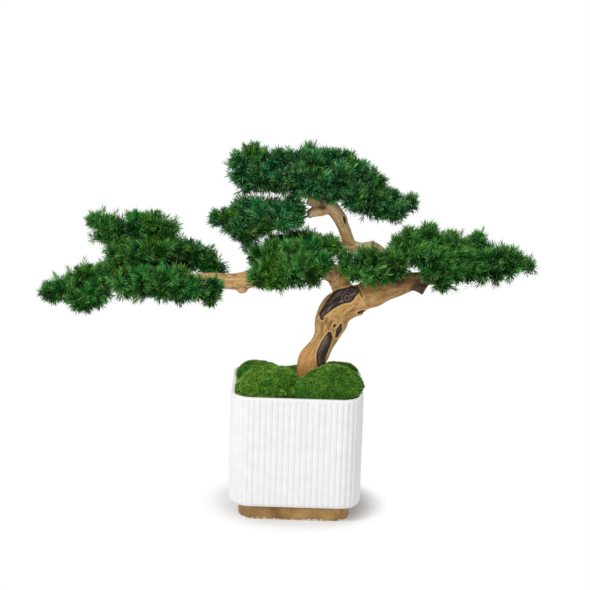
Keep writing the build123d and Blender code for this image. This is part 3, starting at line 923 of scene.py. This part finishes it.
# %% Scattering on a surface
def scatter(mesh, per_square_mm, chance):
    """Random places on a mesh with the face normal at each, evenly by area; in millimetres."""
    mesh.calc_loop_triangles()
    count = len(mesh.loop_triangles)
    corners = np.empty(count * 3, np.int32)
    mesh.loop_triangles.foreach_get("vertices", corners)
    a, b, c = points_of(mesh)[corners.reshape(-1, 3)].transpose(1, 0, 2)
    cross = np.cross(b - a, c - a)
    area = np.linalg.norm(cross, axis=1) / 2
    chosen = chance.choice(count, int(area.sum() * per_square_mm), p=area / area.sum())
    u, v = chance.random((2, len(chosen)))
    flip = u + v > 1
    u[flip], v[flip] = 1 - u[flip], 1 - v[flip]
    place = a[chosen] + u[:, None] * (b - a)[chosen] + v[:, None] * (c - a)[chosen]
    return place, (cross / np.maximum(2 * area, 1e-9)[:, None])[chosen]


def aim(place, direction, spin, size):
    """The matrix that plants a shape with its +Z along a direction, turned and scaled."""
    turn = Vector(direction).to_track_quat("Z", "Y").to_matrix().to_4x4()
    spun = Matrix.Rotation(spin, 4, "Z") @ Matrix.Scale(size, 4)
    return Matrix.Translation(Vector(place) * MM) @ turn @ spun


# %% Copies of a small shape, each with its own tone
UV_MARGIN = 0.004


class Planting:
    """Gathers many copies of small shapes in one mesh, with a tone for each in its UV map."""

    def __init__(self):
        self.bm = bmesh.new()
        self.uvs = []

    def add(self, shape, matrix, tone):
        mesh, uv = shape
        copy = mesh.copy()
        copy.transform(matrix)
        self.bm.from_mesh(copy)
        bpy.data.meshes.remove(copy)
        self.uvs.append(uv + (tone, 0.0))

    def mesh(self, name):
        made = mesh_of(self.bm, name, smooth=False)
        for layer in list(made.uv_layers):
            made.uv_layers.remove(layer)
        uv = np.clip(np.concatenate(self.uvs), UV_MARGIN, 1 - UV_MARGIN)
        made.uv_layers.new(name="OFBake").uv.foreach_set("vector", uv.astype(np.float32).ravel())
        return made


def tuft(needles, chance, tone_spread):
    """A small spray of needles. Each is a root point, direction, length and thickness.

    A needle is a closed three-sided cone whose base stands half way up. One corner of the base is drawn
    down to the root, so the needle is widest in its middle and pointed at both ends, with four faces.
    """
    bm = bmesh.new()
    for root, direction, length, thickness in needles:
        turn = Vector(direction).to_track_quat("Z", "Y").to_matrix().to_4x4()
        place = Matrix.Translation(Vector(root) * MM) @ turn
        lift = Matrix.Translation((0, 0, length * 0.75 * MM))
        cone = bmesh.ops.create_cone(
            bm,
            segments=3,
            radius1=thickness * 0.58 * MM,
            radius2=0,
            depth=length / 2 * MM,
            cap_ends=True,
            matrix=place @ lift,
        )
        cone["verts"][0].co = Vector(root) * MM
    bmesh.ops.recalc_face_normals(bm, faces=bm.faces)
    bmesh.ops.triangulate(bm, faces=bm.faces)
    mesh = mesh_of(bm, "tuft", smooth=False)
    heads = np.empty(len(mesh.loops), np.int32)
    mesh.loops.foreach_get("vertex_index", heads)
    owner = heads // 4
    points = points_of(mesh)[heads]
    along = np.zeros(len(heads))
    for i, (root, direction, length, _) in enumerate(needles):
        along[owner == i] = (points[owner == i] - root) @ np.array(direction) / length
    tone = chance.uniform(-tone_spread, tone_spread, len(needles))[owner]
    width = np.tile([-UV_MARGIN, UV_MARGIN, 0.0], len(heads) // 3)
    return mesh, np.stack([tone + width, np.clip(along, 0, 1)], axis=1)


# %% Patches of tone
def patchy(place, patches):
    """A tone that drifts over a surface: the sum of noises, each with its pitch and strength."""
    return sum(noise.noise(Vector(place) * pitch) * strength for pitch, strength in patches)


# %% Blades and domes
MOSS_CHANCE = np.random.default_rng(11)


def blade_tuft(chance):
    blades = []
    for _ in range(5):
        lean = np.array([*chance.uniform(-0.7, 0.7, 2), 1.0])
        lean /= np.linalg.norm(lean)
        root = np.array([*chance.uniform(-1.2, 1.2, 2), -1.2])
        blades.append((root, lean, chance.uniform(2.8, 4.4), chance.uniform(1.1, 1.6)))
    return tuft(blades, chance, 0.42)


BLADE_TUFTS = [blade_tuft(MOSS_CHANCE) for _ in range(5)]
# How high and how close together a dome's lumps are, where it swells, and how light it is.
MOSS_LUMPS = {"moss_left_front": (4.0, 0.1), "moss_front_centre": (1.2, 0.06)}
MOSS_SWELLS = {
    "moss_left_front": [(-8, -50, 216, 26, 14)],
    "moss_front_centre": [(10, -66, 212, 24, 13)],
    "moss_right_front": [(14, -44, 212, 20, 7), (92, -28, 210, 16, 4)],
    "moss_left_back": [(-80, 62, 200, 26, 15)],
    "moss_right_back": [(86, 74, 204, 24, 9)],
}
MOSS_TONES = {"moss_left_front": 0.64, "moss_front_centre": 0.44, "moss_left_back": 0.46}
MOSS_PATCHES = [(0.04, 0.3), (0.12, 0.3)]
BLADES_PER_MM2 = 0.18
BLADES_BELOW_RIM = 9
CLEAR_OF_RIM = 2


def dome(node):
    """A moss cushion with its swellings and lumps."""
    depth, pitch = MOSS_LUMPS.get(node, (1.6, 0.045))
    mesh = clay(node, 2.2, 3)
    points, normals = points_of(mesh), normals_of(mesh)
    points = swell(points, normals, MOSS_SWELLS.get(node, []))
    lumps = np.array([noise.noise(p * pitch) for p in map(Vector, points)])
    fine = np.array([noise.noise(p * 0.2) for p in map(Vector, points)])
    push = lumps * depth + fine * 0.7 - 1.6
    move_points(mesh, points + normals * push[:, None])
    return mesh


def plant_moss(node):
    chance = np.random.default_rng(sum(map(ord, node)))
    mesh = dome(node)
    finished(node, mesh, MOSS_MAT, [node])
    places, outs = scatter(mesh, BLADES_PER_MM2, chance)
    base = MOSS_TONES.get(node, 0.5)
    pile = Planting()
    for place, out in zip(places, outs):
        on_rim = max(abs(place[0]), abs(place[1])) > WIDTH / 2 - WALL
        above_rim = place[2] - RIM_HEIGHT
        if out[2] < -0.2 or above_rim < -BLADES_BELOW_RIM or (on_rim and above_rim < CLEAR_OF_RIM):
            continue
        patch = patchy(place, MOSS_PATCHES)
        shape = BLADE_TUFTS[chance.integers(len(BLADE_TUFTS))]
        direction = out + chance.normal(0, 0.25, 3) + (0, 0, 0.2)
        matrix = aim(place, direction, chance.uniform(0, 2 * pi), chance.uniform(0.8, 1.2))
        pile.add(shape, matrix, base + patch + chance.normal(0, 0.18))
    return finished(f"{node}_blades", pile.mesh(node), MOSS_GREEN, [])


for name in sorted(frame["nodes"]):
    if name.startswith("moss_"):
        plant_moss(name)

# %% [markdown]
# ## Needle sprays
# A real spray is a wire with dozens of little shoots, and each shoot is a brush of fine soft needles that
# stands out all round it. The CAD model gives each spray's lumpy outline. Shoots are planted all over that
# outline, a little below it, pointing outwards and somewhat up, and more of them, toned darker as painted
# shade, fill the depth behind.

# %% One shoot
NEEDLE_CHANCE = np.random.default_rng(5)
STEM_LENGTH = 13.0
NEEDLES_PER_SHOOT = 20
GOLDEN_TURN = radians(137.5)


def shoot(chance):
    """A brush of needles on a short stem: wide at its foot, narrow at its tip, +Z along the stem."""
    needles = []
    for i in range(NEEDLES_PER_SHOOT):
        share = (i + 0.5) / NEEDLES_PER_SHOOT
        spread = radians(80 - 66 * share + chance.normal(0, 8))
        around = i * GOLDEN_TURN + chance.normal(0, 0.3)
        direction = np.array([sin(spread) * cos(around), sin(spread) * sin(around), cos(spread)])
        root = np.array([0, 0, STEM_LENGTH * (share - 1)])
        needles.append((root, direction, chance.uniform(10.0, 14.5), chance.uniform(1.3, 1.8)))
    return tuft(needles, chance, 0.3)


SHOOTS = [shoot(NEEDLE_CHANCE) for _ in range(6)]
print("a shoot has", len(SHOOTS[0][0].polygons), "faces")

# %% Planting the shoots
# Shoots per square millimetre of outline, how deep their tips lie below it, and how much darker they are
# painted: painted shade for the deep layer, and a little painted light for the outermost one.
LAYERS = [(1 / 62, 1.5, 0.0), (1 / 110, 8.0, 0.3), (1 / 420, -4.5, -0.06)]
SPRAY_TONES = {"left": 0.78, "crown": 0.78, "middle": 0.84, "centre": 0.81, "right": 0.8}
SPRAY_PATCHES = [(0.02, 0.2), (0.08, 0.3)]
LIGHT_SIDE = np.array([-0.3, -0.25, 0.9])
LIGHT_SHARE = 0.17
UPWARD_PULL = (0, 0, 0.18)


def plant_spray(pad, node):
    """Shoots all over a spray's outline, each pointing outwards and a little up."""
    chance = np.random.default_rng(sum(map(ord, node)))
    outline = frame["nodes"][node].data
    brush = Planting()
    for density, depth, darker in LAYERS:
        for place, out in zip(*scatter(outline, density, chance)):
            lit = float(out @ LIGHT_SIDE) * LIGHT_SHARE
            # painted shade: deeper layers are toned darker; painted light: shoots facing LIGHT_SIDE are
            # toned lighter
            tone = SPRAY_TONES[pad] + patchy(place, SPRAY_PATCHES) + lit - darker
            tone += chance.normal(0, 0.1)
            direction = out + chance.normal(0, 0.32, 3) + UPWARD_PULL
            root = place - out * (depth + chance.normal(0, 2.2))
            shape = SHOOTS[chance.integers(len(SHOOTS))]
            matrix = aim(root, direction, chance.uniform(0, 2 * pi), chance.uniform(0.8, 1.15))
            brush.add(shape, matrix, tone)
    green = DEEP_GREEN if pad in ("crown", "middle") else NEEDLE_GREEN
    return finished(node, brush.mesh(node), green, [node], f"{pad}_pad")


sprays = []
for body, nodes in frame["record"]["behaviour"]["bodies"].items():
    pad = body.removesuffix("_pad")
    sprays += [plant_spray(pad, node) for node in nodes if node.endswith("_spray")]
print("needle sprays:", len(sprays))

# %% [markdown]
# ## Light and ground
# Studio light for a white object on white: a large soft light high on the left, a weaker one on the right
# and an even sky. The ground near the planter is a real white surface that takes its shadow. Further out it
# fades to plain white light, so that no horizon or edge shows.

# %% Ground
def white_ground():
    finish = Finish("white_ground", {"Roughness": 0.9, "Specular IOR Level": 0.1})
    finish.surface.inputs["Base Color"].default_value = (0.93, 0.93, 0.93, 1)
    seen = finish.node("ShaderNodeLightPath", output="Is Camera Ray")
    mirrored = finish.node("ShaderNodeLightPath", output="Is Glossy Ray")
    place = finish.place()
    x = finish.node("ShaderNodeSeparateXYZ", {}, {0: place}, output=0)
    y = finish.node("ShaderNodeSeparateXYZ", {}, {0: place}, output=1)
    far = (x * x + y * y).step(0.01, 0.024)
    glow = finish.node("ShaderNodeEmission", {}, {"Color": (1, 1, 1, 1), "Strength": 1.0})
    output = finish.tree.nodes["Material Output"]
    shown = finish.node("ShaderNodeMixShader", {}, {0: far * seen.most(mirrored)})
    finish.tree.links.new(finish.surface.outputs[0], shown.socket.node.inputs[1])
    finish.tree.links.new(glow.socket, shown.socket.node.inputs[2])
    finish.tree.links.new(shown.socket, output.inputs["Surface"])
    return finish.material


bm = bmesh.new()
bmesh.ops.create_grid(bm, x_segments=1, y_segments=1, size=4.0)
ground = bpy.data.objects.new("ground", mesh_of(bm, "ground"))
ground.data.materials.append(white_ground())
scene.collection.objects.link(ground)

# %% Sky
world = bpy.data.worlds.new("sky")
world.use_nodes = True
scene.world = world
sky = world.node_tree
paths = sky.nodes.new("ShaderNodeLightPath")
seen = sky.nodes.new("ShaderNodeMath")
seen.operation = "MAXIMUM"
sky.links.new(paths.outputs["Is Camera Ray"], seen.inputs[0])
sky.links.new(paths.outputs["Is Glossy Ray"], seen.inputs[1])
SKY_LIGHT = 0.52
strength = sky.nodes.new("ShaderNodeMapRange")
strength.inputs["To Min"].default_value = SKY_LIGHT
strength.inputs["To Max"].default_value = 1.0
sky.links.new(seen.outputs[0], strength.inputs["Value"])
background = sky.nodes["Background"]
background.inputs["Color"].default_value = (1, 1, 1, 1)
sky.links.new(strength.outputs[0], background.inputs["Strength"])

# %% Lamps
def soft_light(name, place, size, power):
    """A square lamp of that size, in metres, aimed at the middle of the tree."""
    lamp = bpy.data.lights.new(name, "AREA")
    lamp.size = size
    lamp.energy = power
    holder = bpy.data.objects.new(name, lamp)
    scene.collection.objects.link(holder)
    holder.location = place
    holder.rotation_euler = (Vector((0, 0, 0.3)) - Vector(place)).to_track_quat("-Z", "Y").to_euler()


soft_light("key", (-1.3, -1.6, 2.2), 0.9, 44)
soft_light("fill", (1.8, -1.8, 0.9), 1.6, 6)

# %% [markdown]
# ## The picture's finish
# Colours are shown through the Standard view transform.

# %% View transform
scene.view_settings.view_transform = "Standard"
